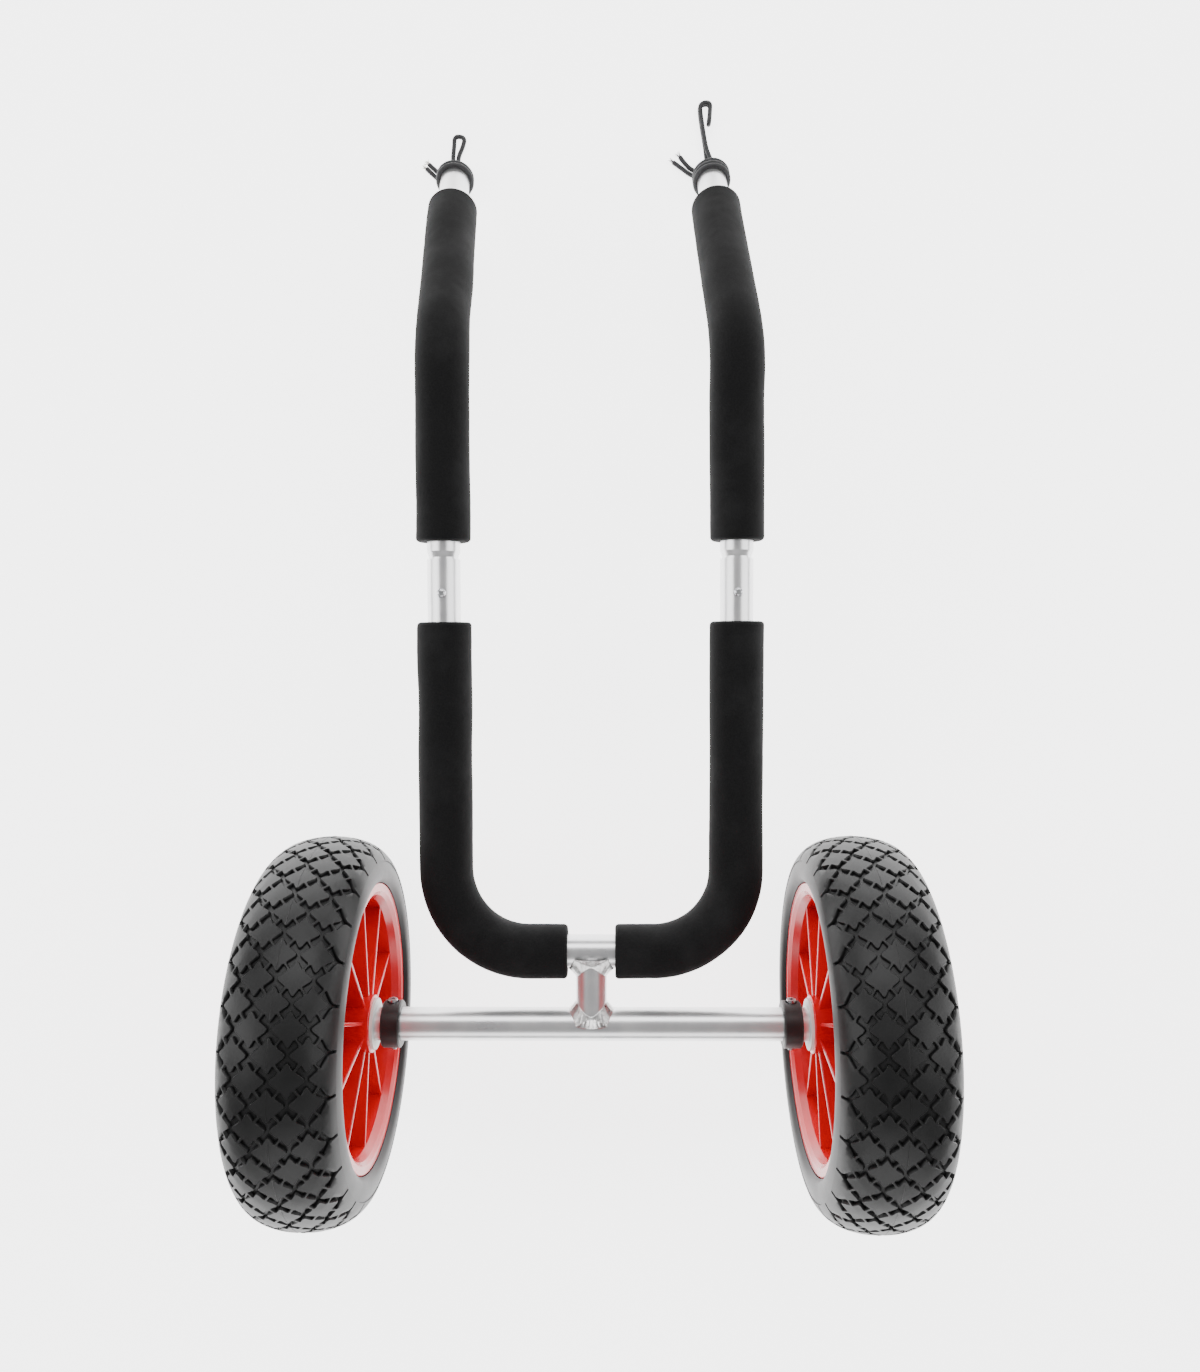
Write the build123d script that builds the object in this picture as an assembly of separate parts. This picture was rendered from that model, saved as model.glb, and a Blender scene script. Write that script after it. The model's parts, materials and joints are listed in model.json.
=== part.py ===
"""Two-wheeled board cart: a padded U frame on an axle, with two bent arms that pull out of it.

The cart is modelled parked: it lies on its two tyres and on the tips of its two arms.
X runs along the axle, +Y towards the arm tips and +Z up. The origin is on the floor, under
the middle of the cart's box, loose cords left out. All sizes are in millimetres.
"""

from build123d import *
from math import cos, degrees, pi, radians, sin, sqrt, tan
import os

# --- tubes and frame ---
TUBE_RADIUS = 12.7
TUBE_WALL = 1.5
ARM_SPACING = 225.0
CROSSBAR_RISE = 58.0
U_BEND_RADIUS = 64.0
SOCKET_REACH = 363.0
STEM_RADIUS = TUBE_RADIUS - 0.7
STEM_WALL = 2.0
WELD_LEG = 6.5

# --- upper arms ---
ARM_BEND_REACH = 528.0
ARM_BEND_RADIUS = 95.0
ARM_DROP_ANGLE = 36.5
ARM_LEAN_ANGLE = 3.5
SPIGOT_LENGTH = 62.0
SPIGOT_CLEARANCE = 0.08
NECK_GAP = 1.6
NECK_LENGTH = 4.4
TIP_BARE_LENGTH = 50.0
PLUG_FLANGE = 1.5
PLUG_DEPTH = 14.0

# --- foam sleeves ---
FOAM_WALL = 8.3
FOAM_RADIUS = TUBE_RADIUS + FOAM_WALL
FOAM_CLEARANCE = 0.1
FOAM_END_ROUND = 2.5
BAR_FOAM_GAP = 37.0
LOWER_FOAM_REACH = 315.0
UPPER_FOAM_START = 376.5

# --- snap buttons ---
BUTTON_SETBACK = 26.0
BUTTON_RADIUS = 3.6
BUTTON_STAND = 3.0
BUTTON_CLEARANCE = 0.15
BUTTON_HEAD_RADIUS = 5.0
BUTTON_HEAD_HEIGHT = 1.2
BUTTON_HEAD_DROP = 0.4
BUTTON_DOME = 2.25
SPRING_THICKNESS = 0.8
SPRING_WIDTH = 8.0
SPRING_LENGTH = 26.0
SPRING_WALL_GAP = 0.4
SPRING_FOLD_INSET = 2.0
SPRING_FOLD_RISE = 0.4
SPRING_FOLD_HEIGHT = 1.0

# --- axle and what is on it ---
AXLE_END_MARGIN = 9.0
AXLE_WALL = 2.0
COLLAR_GAP = 5.45
COLLAR_WIDTH = 14.5
COLLAR_RADIUS = TUBE_RADIUS + 5.3
COLLAR_EDGE = 1.0
COLLAR_FLAT_DEPTH = 1.6
COLLAR_FLAT_RADIUS = 4.6
SCREW_RADIUS = 2.5
SCREW_HEAD_RADIUS = 3.6
SCREW_HEAD_HEIGHT = 3.6
SCREW_SOCKET_RADIUS = 2.0
SCREW_SOCKET_DEPTH = 2.2
SCREW_TIP = 1.2
NUT_RADIUS = 4.3
NUT_HEIGHT = 2.2
WASHER_RADIUS = TUBE_RADIUS + 8.3
WASHER_THICKNESS = 2.0
WASHER_PLAY = 0.6
CLIP_GAP = 1.2
CLIP_WIRE = 1.5
CLIP_CLEARANCE = 0.15
CLIP_BEND_RADIUS = 4.5
CLIP_EYE_RISE = 13.0
CLIP_EYE_REACH = 5.0
CLIP_BOW_REACH = 1.2
CLIP_BOW_RISE = 8.0
CLIP_FOOT_DROP = 14.0
CLIP_FOOT_REACH = 6.0
END_PLUG_FLANGE = 2.0
END_PLUG_EDGE = 1.0

# --- wheels ---
WHEEL_PLACE = 207.7
TYRE_RADIUS = 146.0
TYRE_HALF_WIDTH = 42.0
TYRE_CROWN_DROP = 1.9
TYRE_CROWN_HALF = 17.0
TYRE_SHOULDER_DROP = 8.0
TYRE_SHOULDER_HALF = 31.5
TYRE_SHOULDER_SWELL = 0.9
TYRE_CORNER_INSET = 1.8
TYRE_BEAD_INSET = 1.2
RIM_LIP_RADIUS = TYRE_RADIUS - 37.0
TYRE_BULGE_RADIUS = RIM_LIP_RADIUS + 10.0
RIM_LIP_HALF = TYRE_HALF_WIDTH - 4.7
RIM_LIP_THICKNESS = 2.9
RIM_LIP_DEPTH = 6.5
RIM_EDGE_ROUND = 1.1
RIM_SEAT_RADIUS = RIM_LIP_RADIUS - 6.0
RIM_WELL_RADIUS = RIM_SEAT_RADIUS - 2.5
RIM_WELL_HALF = 30.0
RIM_BOWL_RADIUS = RIM_WELL_RADIUS - 1.0
RIM_BOWL_HALF = RIM_LIP_HALF - 2.6
RIM_BARREL_RADIUS = RIM_WELL_RADIUS - 3.5
RIM_BARREL_HALF = 29.0
RIM_NECK_RADIUS = RIM_WELL_RADIUS - 5.5
RIM_WEB = 5.0
RIB_COUNT = 10
RIB_THICKNESS = 3.0
RIB_ROUND = 0.9
RIB_BOSS_STEP = 4.2
RIB_FIRST_ANGLE = 88.0
BUSH_RADIUS = TUBE_RADIUS + 3.3
BUSH_FLANGE_RADIUS = BUSH_RADIUS + 3.5
BOSS_RADIUS = BUSH_RADIUS + 6.0
BOSS_HALF = 36.9
BUSH_FLANGE = 2.1
BUSH_LENGTH = 30.0
BUSH_CLEARANCE = 0.06
BUSH_NOTCH = 2.4
BUSH_NOTCH_COUNT = 4
BEAD_STEP = 0.3

# --- shock cord ---
CORD_RADIUS = 1.9
WRAP_CLEARANCE = 0.1
WRAP_TURNS = {"left": 2, "right": 3}
CORD_FIT = 0.45

# Where cords leave the plug's face, as (across, up) on the face, and how far they run straight out.
LOOP_EXITS = [(-2.1, 2.1), (2.1, 2.1)]
TAIL_EXITS = [(-2.1, -2.1), (2.1, -2.1)]
LOOP_OUT_RUN = 6.0
TAIL_OUT_RUN = 4.0

# The routes beyond, as (across, forward, up) from the floor point under the plug's face centre.
LOOP_ROUTE = {
    "left": [(-3.4, 14.6, 2.7), (-3.2, 22.5, 2.1), (-2.2, 30.5, 2.1), (-1.9, 39.4, 2.1), (7.7, 38.2, 2.1),
             (5.4, 29.5, 2.1), (1.8, 22.2, 2.1), (1.2, 14.8, 2.8)],
    "right": [(-2.6, 15.2, 2.7), (-3.6, 25.0, 2.1), (-5.2, 35.0, 2.1), (-7.1, 46.0, 2.1), (-8.4, 55.0, 2.1),
              (-9.0, 64.2, 2.1), (0.7, 65.2, 2.1), (0.2, 56.0, 2.1), (-1.2, 45.8, 2.1), (-1.0, 46.2, 10.4),
              (-0.2, 55.2, 6.6), (0.5, 64.8, 6.3), (-9.1, 63.6, 6.3), (-8.2, 54.0, 6.2), (-6.8, 45.0, 6.2),
              (-4.8, 33.0, 6.2), (-2.8, 23.0, 6.3), (0.9, 14.4, 7.4)],
}
TAIL_ROUTES = {
    "left": [[(-4.8, 3.4, 3.8), (-10.0, 2.6, 2.1), (-16.2, 1.4, 2.1), (-21.8, 6.2, 2.1), (-27.2, 11.4, 2.1)],
             [(0.6, 6.8, 3.9), (-6.4, 8.4, 2.1), (-14.0, 5.6, 2.1), (-19.8, 10.2, 2.1), (-25.2, 15.2, 2.1)]],
    "right": [[(-4.8, 3.4, 3.8), (-10.6, 2.2, 2.1), (-16.8, 3.4, 2.1), (-24.0, 9.0, 2.1), (-32.4, 15.0, 2.1)],
              [(0.6, 6.8, 3.9), (-6.4, 8.2, 2.1), (-13.8, 6.6, 2.1), (-21.0, 12.2, 2.1), (-26.4, 19.6, 2.1)]],
}

# --- worked out from the sizes above ---
SIDES = {"left": -1, "right": 1}
DROP = radians(ARM_DROP_ANGLE)
LEAN = radians(ARM_LEAN_ANGLE)
FALL = cos(LEAN) * sin(DROP)
WRAP_RADIUS = TUBE_RADIUS + WRAP_CLEARANCE + CORD_RADIUS
WRAP_PITCH = 2 * CORD_RADIUS + WRAP_CLEARANCE
FIRST_WRAP = PLUG_FLANGE + WRAP_CLEARANCE + CORD_RADIUS
# The first turn of cord is what touches the floor, so the drop ends where that turn meets it.
TIP_RUN = FIRST_WRAP + (TYRE_RADIUS - WRAP_RADIUS * sqrt(1 - FALL ** 2) - CORD_RADIUS) / FALL
TIP_FORWARD = ARM_BEND_REACH + TIP_RUN * cos(DROP)
WRAP_FORWARD = TIP_FORWARD - FIRST_WRAP * cos(DROP) + WRAP_RADIUS * sin(DROP) + CORD_RADIUS
FRONT = max(WRAP_FORWARD, TIP_FORWARD + TUBE_RADIUS * sin(DROP))
AXLE_Y = -(FRONT - TYRE_RADIUS) / 2
AXLE_Z = TYRE_RADIUS
TIP_HEIGHT = AXLE_Z - TIP_RUN * FALL
SPIGOT_RADIUS = TUBE_RADIUS - TUBE_WALL - SPIGOT_CLEARANCE
BUTTON_REACH = SOCKET_REACH - BUTTON_SETBACK
BUSH_FACE = BOSS_HALF + BUSH_FLANGE
WASHER_PLACE = WHEEL_PLACE + BUSH_FACE + WASHER_PLAY
CLIP_PLACE = WASHER_PLACE + WASHER_THICKNESS + CLIP_GAP + CLIP_WIRE
COLLAR_PLACE = WHEEL_PLACE - BUSH_FACE - COLLAR_GAP - COLLAR_WIDTH / 2
AXLE_HALF_LENGTH = CLIP_PLACE + AXLE_END_MARGIN

ALUMINIUM = (0.78, 0.79, 0.80)
STEEL = (0.62, 0.63, 0.65)
FOAM = (0.06, 0.06, 0.065)
BLACK = (0.05, 0.05, 0.05)
RED = (0.80, 0.05, 0.04)
NYLON = (0.80, 0.80, 0.78)


def place(x=0.0, forward=0.0, up=0.0):
    """A point given from the axle's middle, in the cart's frame."""
    return Vector(x, AXLE_Y + forward, AXLE_Z + up)


def rod(start, end, radius, bore=0.0):
    """A round bar or, with a bore, a tube between two points."""
    run = end - start
    plane = Plane(origin=start, z_dir=run)
    face = Circle(radius) - Circle(bore) if bore else Circle(radius)
    return extrude(plane * face, amount=run.length)


def sleeve(path, radius, bore):
    """A tube of one section along a line of straights and tangent arcs."""
    plane = Plane(origin=path @ 0, z_dir=path % 0)
    return sweep(plane * (Circle(radius) - Circle(bore)), path=path)


def write(name, shape, material_color):
    """Writes one node's solids to parts/NAME.step."""
    shape.label = name
    shape.color = Color(*material_color)
    export_step(shape, f"parts/{name}.step")


def frame_path(foam_side=0):
    """Centreline of the U frame, or of the stretch that one foam sleeve covers."""
    reach = LOWER_FOAM_REACH if foam_side else SOCKET_REACH
    half = ARM_SPACING / 2
    top_right = place(half, reach)
    low_right = place(half, CROSSBAR_RISE)
    low_left = place(-half, CROSSBAR_RISE)
    top_left = place(-half, reach)
    if foam_side:
        start = place(foam_side * BAR_FOAM_GAP / 2, CROSSBAR_RISE)
        corner, end = (low_right, top_right) if foam_side > 0 else (low_left, top_left)
        return FilletPolyline(start, corner, end, radius=U_BEND_RADIUS)
    return FilletPolyline(top_left, low_left, low_right, top_right, radius=U_BEND_RADIUS)


def lower_frame_tube():
    tube = sleeve(frame_path(), TUBE_RADIUS, TUBE_RADIUS - TUBE_WALL)
    for side in SIDES.values():
        at = place(side * ARM_SPACING / 2, BUTTON_REACH)
        tube -= rod(at, at + Vector(0, 0, 2 * TUBE_RADIUS), BUTTON_RADIUS + BUTTON_CLEARANCE)
    return tube


def rounded_ends(foam):
    """Rounds the outer edge of each open end of a foam sleeve."""
    rims = [edge for edge in foam.edges().filter_by(GeomType.CIRCLE)
            if abs(edge.radius - FOAM_RADIUS) < FOAM_CLEARANCE and edge.is_closed]
    return fillet(rims, FOAM_END_ROUND)


def lower_foam(side):
    return rounded_ends(sleeve(frame_path(side), FOAM_RADIUS, TUBE_RADIUS + FOAM_CLEARANCE))


def stem_tube():
    """The short post between axle and crossbar, its ends coped to both tubes."""
    post = rod(place(), place(0, CROSSBAR_RISE), STEM_RADIUS, STEM_RADIUS - STEM_WALL)
    return post - cross_tube(0) - cross_tube(CROSSBAR_RISE)


def cross_tube(rise, extra=0.0):
    """A solid bar as thick as the tube that lies across the stem at the given height."""
    reach = ARM_SPACING / 2
    return rod(place(-reach, rise), place(reach, rise), TUBE_RADIUS + extra)


def weld_bead(rise):
    """A fillet weld round the stem where it meets the tube at the given height."""
    middle = CROSSBAR_RISE / 2
    ring = rod(place(0, rise), place(0, middle), STEM_RADIUS + WELD_LEG, STEM_RADIUS)
    legs = cross_tube(rise, WELD_LEG)
    return (ring & legs) - cross_tube(rise)


def axle_tube():
    tube = rod(place(-AXLE_HALF_LENGTH), place(AXLE_HALF_LENGTH), TUBE_RADIUS, TUBE_RADIUS - AXLE_WALL)
    for side in SIDES.values():
        across = Vector(0, COLLAR_RADIUS, 0)
        at = place(side * COLLAR_PLACE)
        tube -= rod(at - across, at + across, SCREW_RADIUS + CLIP_CLEARANCE)
        upright = Vector(0, 0, COLLAR_RADIUS)
        at = place(side * CLIP_PLACE)
        tube -= rod(at - upright, at + upright, CLIP_WIRE + CLIP_CLEARANCE)
    return tube


def axle_collar(side):
    """A plastic stop collar with a through hole and a flat seat each for screw head and nut."""
    near = place(side * COLLAR_PLACE - COLLAR_WIDTH / 2)
    far = place(side * COLLAR_PLACE + COLLAR_WIDTH / 2)
    collar = rod(near, far, COLLAR_RADIUS)
    collar = chamfer(collar.edges().filter_by(GeomType.CIRCLE), COLLAR_EDGE)
    collar -= rod(near, far, TUBE_RADIUS)
    at = place(side * COLLAR_PLACE)
    deep = COLLAR_RADIUS - COLLAR_FLAT_DEPTH
    for way in (-1, 1):
        seat = at + Vector(0, way * deep, 0)
        collar -= rod(seat, seat + Vector(0, way * COLLAR_RADIUS, 0), COLLAR_FLAT_RADIUS)
    across = Vector(0, COLLAR_RADIUS, 0)
    return collar - rod(at - across, at + across, SCREW_RADIUS)


def collar_screw(side):
    """A socket screw through collar and axle, its head towards the arm tips."""
    at = place(side * COLLAR_PLACE)
    seat = at + Vector(0, COLLAR_RADIUS - COLLAR_FLAT_DEPTH, 0)
    top = seat + Vector(0, SCREW_HEAD_HEIGHT, 0)
    low = at - Vector(0, COLLAR_RADIUS - COLLAR_FLAT_DEPTH + NUT_HEIGHT + SCREW_TIP, 0)
    screw = rod(low, seat, SCREW_RADIUS) + rod(seat, top, SCREW_HEAD_RADIUS)
    socket = Plane(origin=top, z_dir=(0, -1, 0)) * RegularPolygon(SCREW_SOCKET_RADIUS, 6)
    return screw - extrude(socket, amount=SCREW_SOCKET_DEPTH)


def collar_nut(side):
    seat = place(side * COLLAR_PLACE, -(COLLAR_RADIUS - COLLAR_FLAT_DEPTH))
    plane = Plane(origin=seat, z_dir=(0, -1, 0))
    return extrude(plane * (RegularPolygon(NUT_RADIUS, 6) - Circle(SCREW_RADIUS)), amount=NUT_HEIGHT)


def axle_washer(side):
    start = place(side * WASHER_PLACE)
    end = place(side * (WASHER_PLACE + WASHER_THICKNESS))
    return rod(start, end, WASHER_RADIUS, TUBE_RADIUS + BUSH_CLEARANCE)


def retaining_clip(side):
    """A spring pin: a straight leg through the axle and a bowed leg that grips its front."""
    at = place(side * CLIP_PLACE)
    grip = TUBE_RADIUS + CLIP_WIRE + CLIP_CLEARANCE
    leg = grip + 2 * CLIP_WIRE
    bow = grip + CLIP_BOW_REACH
    route = [(0, -leg), (0, leg + CLIP_BEND_RADIUS), (CLIP_EYE_REACH, leg + CLIP_EYE_RISE),
             (grip + 2, leg + CLIP_BOW_RISE), (bow, CLIP_BOW_RISE), (bow, CLIP_BOW_RISE - CLIP_FOOT_DROP),
             (grip + CLIP_FOOT_REACH, -CLIP_FOOT_DROP)]
    points = [at + Vector(0, forward, up) for forward, up in route]
    path = FilletPolyline(*points, radius=CLIP_BEND_RADIUS)
    plane = Plane(origin=path @ 0, z_dir=path % 0)
    return sweep(plane * Circle(CLIP_WIRE), path=path)


def axle_end_plug(side):
    edge = place(side * AXLE_HALF_LENGTH)
    cap = rod(edge, edge + Vector(side * END_PLUG_FLANGE, 0, 0), TUBE_RADIUS)
    cap = chamfer(cap.edges().filter_by(GeomType.CIRCLE).sort_by(Axis.X)[-1 if side > 0 else 0], END_PLUG_EDGE)
    stalk_end = edge - Vector(side * (AXLE_HALF_LENGTH - CLIP_PLACE - 2 * CLIP_WIRE), 0, 0)
    return cap + rod(stalk_end, edge, TUBE_RADIUS - AXLE_WALL)


def seat_line(step):
    """Half outline of the rim's outer seat, which the tyre's inside follows a step further out."""
    flange = RIM_LIP_HALF - RIM_LIP_THICKNESS
    return [(flange - step, RIM_LIP_RADIUS), (flange - step, RIM_SEAT_RADIUS + step),
            (RIM_WELL_HALF - step, RIM_WELL_RADIUS + step)]


def mirrored(points):
    return points + [(-x, r) for x, r in reversed(points)]


def turned(side, face):
    """Turns a face drawn as (sideways, radius) about the axle, in the wheel's own place."""
    plane = Plane(origin=place(side * WHEEL_PLACE), x_dir=(1, 0, 0), z_dir=(0, -1, 0))
    return revolve(plane * face, Axis(place(), (1, 0, 0)))


def tyre(side):
    """A solid foam tyre: crowned tread, round shoulders and a bulge over the rim's lip."""
    lip = RIM_LIP_HALF + BEAD_STEP
    over = RIM_LIP_RADIUS + BEAD_STEP
    crown = (TYRE_CROWN_HALF, TYRE_RADIUS - TYRE_CROWN_DROP)
    shoulder = (TYRE_SHOULDER_HALF, TYRE_RADIUS - TYRE_SHOULDER_DROP)
    bulge = (TYRE_HALF_WIDTH, TYRE_BULGE_RADIUS)
    corner = (TYRE_HALF_WIDTH - TYRE_CORNER_INSET,
              (bulge[1] + shoulder[1]) / 2 + TYRE_CORNER_INSET - BEAD_STEP)
    low = (TYRE_HALF_WIDTH - TYRE_BEAD_INSET, (bulge[1] + over) / 2 - TYRE_BEAD_INSET + BEAD_STEP)
    swell = ((crown[0] + shoulder[0]) / 2 + BEAD_STEP, (crown[1] + shoulder[1]) / 2 + TYRE_SHOULDER_SWELL)
    seat = seat_line(BEAD_STEP)
    seat[0] = (seat[0][0], over)
    half = [
        ThreePointArc((0, TYRE_RADIUS), (TYRE_CROWN_HALF / 2, TYRE_RADIUS - TYRE_CROWN_DROP / 4), crown),
        ThreePointArc(crown, swell, shoulder),
        ThreePointArc(shoulder, corner, bulge),
        ThreePointArc(bulge, low, (lip, over)),
        Polyline((lip, over), *seat, (0, seat[-1][1])),
    ]
    right = Line((0, TYRE_RADIUS), (0, seat[-1][1]))
    face = make_face(Wire(Curve() + half + right))
    return turned(side, face + mirror(face, about=Plane.YZ))


def rim(side):
    """One moulded wheel: flanged barrel, middle web, hub boss and ribs on both faces."""
    flange = RIM_LIP_HALF - RIM_LIP_THICKNESS
    lip_inside = RIM_LIP_RADIUS - RIM_LIP_DEPTH
    outline = [(RIM_LIP_HALF, RIM_LIP_RADIUS), (flange, RIM_LIP_RADIUS)] + seat_line(0)[1:]
    inside = [(RIM_LIP_HALF, lip_inside), (RIM_BOWL_HALF, RIM_BOWL_RADIUS), (RIM_BARREL_HALF, RIM_BARREL_RADIUS),
              (RIM_WEB / 2, RIM_NECK_RADIUS), (RIM_WEB / 2, BOSS_RADIUS), (BOSS_HALF, BOSS_RADIUS),
              (BOSS_HALF, BUSH_RADIUS)]
    face = make_face(Polyline(*mirrored(outline), *reversed(mirrored(inside)), close=True))
    free = [corner for corner in face.vertices()
            if abs(corner.X) > BOSS_HALF - RIM_EDGE_ROUND and corner.Y > BUSH_FLANGE_RADIUS]
    body = turned(side, fillet(free, RIM_EDGE_ROUND))
    at = place(side * WHEEL_PLACE)
    reach = (RIM_BARREL_RADIUS + RIM_WELL_RADIUS) / 2
    slim = (BOSS_RADIUS + BUSH_RADIUS) / 2
    plane = Plane(origin=at, x_dir=(1, 0, 0), z_dir=(0, -1, 0))
    for way in (-1, 1):
        edge = [(way * RIM_BARREL_HALF, reach), (way * (BOSS_HALF - RIB_BOSS_STEP), slim)]
        web = make_face(Polyline((0, slim), (0, reach), *edge, close=True))
        rib = extrude(plane * web, amount=RIB_THICKNESS / 2, both=True)
        face_edges = [line for line in rib.edges()
                      if line.length > BOSS_RADIUS and abs(line.center().X - at.X) > RIM_BARREL_HALF - RIB_ROUND]
        rib = fillet(face_edges, RIB_ROUND)
        for turn in range(RIB_COUNT):
            angle = RIB_FIRST_ANGLE + 360 / RIB_COUNT * turn
            body += rib.rotate(Axis(at, (1, 0, 0)), angle)
    return body


def hub_bush(side, way):
    """A flanged nylon bush, pressed into the rim's boss from the inner (-1) or outer (1) face."""
    at = side * WHEEL_PLACE
    out = side * way
    inside = TUBE_RADIUS + BUSH_CLEARANCE
    face = at + out * BOSS_HALF
    bush = rod(place(face - out * BUSH_LENGTH), place(face), BUSH_RADIUS, inside)
    bush += rod(place(face), place(face + out * BUSH_FLANGE), BUSH_FLANGE_RADIUS, inside)
    for notch in range(BUSH_NOTCH_COUNT):
        turn = 2 * pi * (notch + 0.5) / BUSH_NOTCH_COUNT
        rise = Vector(0, cos(turn), sin(turn)) * inside
        bush -= rod(place(face) + rise, place(face + out * BUSH_FLANGE) + rise, BUSH_NOTCH / 2)
    return bush


def drop_direction():
    """The way an arm runs past its bend: down, and leaning a little to the left."""
    return Vector(-sin(LEAN) * sin(DROP), cos(DROP), -FALL)


def arm_point(side, run):
    """A point on the arm's dropped stretch, the given run past its bend point."""
    return place(side * ARM_SPACING / 2, ARM_BEND_REACH) + drop_direction() * run


def arm_path(side, start, end_run):
    return FilletPolyline(place(side * ARM_SPACING / 2, start), place(side * ARM_SPACING / 2, ARM_BEND_REACH),
                          arm_point(side, end_run), radius=ARM_BEND_RADIUS)


def upper_arm_tube(side):
    """The bent arm: a full-size tube, a cone-shaped neck and a slimmer spigot below it."""
    x = side * ARM_SPACING / 2
    neck_low = SOCKET_REACH + NECK_GAP
    neck_high = neck_low + NECK_LENGTH
    tube = sleeve(arm_path(side, neck_high, TIP_RUN - PLUG_FLANGE), TUBE_RADIUS, TUBE_RADIUS - TUBE_WALL)
    low = SOCKET_REACH - SPIGOT_LENGTH
    inner = SPIGOT_RADIUS - TUBE_WALL
    outline = Polyline((inner, low), (SPIGOT_RADIUS, low), (SPIGOT_RADIUS, neck_low), (TUBE_RADIUS, neck_high),
                       (TUBE_RADIUS - TUBE_WALL, neck_high), (inner, neck_low), close=True)
    plane = Plane(origin=place(x), x_dir=(1, 0, 0), z_dir=(0, 0, 1))
    tube += revolve(plane * make_face(outline), Axis(place(x), (0, 1, 0)))
    at = place(x, BUTTON_REACH)
    return tube - rod(at, at + Vector(0, 0, 2 * TUBE_RADIUS), BUTTON_RADIUS + BUTTON_CLEARANCE)


def upper_foam(side):
    path = arm_path(side, UPPER_FOAM_START, TIP_RUN - TIP_BARE_LENGTH)
    return rounded_ends(sleeve(path, FOAM_RADIUS, TUBE_RADIUS + FOAM_CLEARANCE))


def button_head_top():
    """Height of the head's top face, a little under the spigot's round inner wall."""
    inner = SPIGOT_RADIUS - TUBE_WALL
    return (inner ** 2 - BUTTON_HEAD_RADIUS ** 2) ** 0.5 - BUTTON_HEAD_DROP


def snap_button(side):
    """A domed steel button with a wider head under the spigot's wall."""
    at = place(side * ARM_SPACING / 2, BUTTON_REACH)
    head_top = at + Vector(0, 0, button_head_top())
    shank_top = at + Vector(0, 0, TUBE_RADIUS + BUTTON_STAND)
    button = rod(head_top, shank_top, BUTTON_RADIUS)
    button = fillet(button.edges().filter_by(GeomType.CIRCLE).sort_by(Axis.Z)[-1], BUTTON_DOME)
    return button + rod(head_top - Vector(0, 0, BUTTON_HEAD_HEIGHT), head_top, BUTTON_HEAD_RADIUS)


def button_spring(side):
    """A folded leaf spring that pushes the button out from the spigot's far wall."""
    x = side * ARM_SPACING / 2
    high = button_head_top() - BUTTON_HEAD_HEIGHT
    # Half the leaf's width lifts its edges off the round wall, so its low leg stands that much in.
    wall = ((SPIGOT_RADIUS - TUBE_WALL) ** 2 - (SPRING_WIDTH / 2) ** 2) ** 0.5
    low = -wall + SPRING_WALL_GAP + SPRING_THICKNESS
    front = BUTTON_HEAD_RADIUS
    fold = -SPRING_LENGTH
    bend = (high + low) / 2 - SPRING_FOLD_RISE
    leaf = Polyline((front, high), (front, high - SPRING_THICKNESS), (fold + SPRING_FOLD_INSET, bend),
                    (front, low), (front, low - SPRING_THICKNESS), (fold, bend - SPRING_FOLD_HEIGHT / 2),
                    (fold, bend + SPRING_FOLD_HEIGHT / 2), (-BUTTON_HEAD_RADIUS, high), close=True)
    plane = Plane(origin=place(x, BUTTON_REACH), x_dir=(0, 1, 0), z_dir=(1, 0, 0))
    return extrude(plane * make_face(leaf), amount=SPRING_WIDTH / 2, both=True)


def tip_plug(side):
    """A plastic plug in the arm's end, which the shock cord comes out of."""
    face = arm_point(side, TIP_RUN)
    seat = arm_point(side, TIP_RUN - PLUG_FLANGE)
    stalk = arm_point(side, TIP_RUN - PLUG_DEPTH)
    return rod(seat, face, TUBE_RADIUS) + rod(stalk, seat, TUBE_RADIUS - TUBE_WALL)


def cord_wrap(side, turns):
    """Turns of shock cord drawn tight round the arm, side by side behind the plug."""
    rings = []
    for turn in range(turns):
        centre = arm_point(side, TIP_RUN - FIRST_WRAP - WRAP_PITCH * turn)
        rings.append(Plane(origin=centre, z_dir=drop_direction()) * Torus(WRAP_RADIUS, CORD_RADIUS))
    return Compound(children=rings)


def exit_run(side, exit_place, run):
    """The point where a cord leaves the plug's face and the end of its first straight run."""
    across = Vector(cos(LEAN), 0, -sin(LEAN))
    out = drop_direction()
    start = arm_point(side, TIP_RUN) + across * exit_place[0] + across.cross(out) * exit_place[1]
    return [start, start + out * run]


def cord(name, side, route, exits, run):
    """A free length of shock cord that starts on the plug's face and lies on the floor."""
    tip = arm_point(side, TIP_RUN)
    points = exit_run(side, exits[0], run) + [Vector(tip.X, tip.Y, 0) + Vector(*step) for step in route]
    if len(exits) > 1:
        points += reversed(exit_run(side, exits[1], run))
    radii = []
    for before, here, after in zip(points, points[1:], points[2:]):
        turn = radians((here - before).get_angle(after - here))
        run = min((here - before).length, (after - here).length)
        radii.append(CORD_FIT * run / tan(turn / 2))
    path = FilletPolyline(*points, radius=radii)
    print(name, "length", round(path.length, 1), "radii", [round(radius, 1) for radius in radii])
    plane = Plane(origin=path @ 0, z_dir=path % 0)
    tube = sweep(plane * Circle(CORD_RADIUS), path=path)
    print(name, "volume share", round(tube.volume / (pi * CORD_RADIUS ** 2 * path.length), 4))
    return tube


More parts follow.
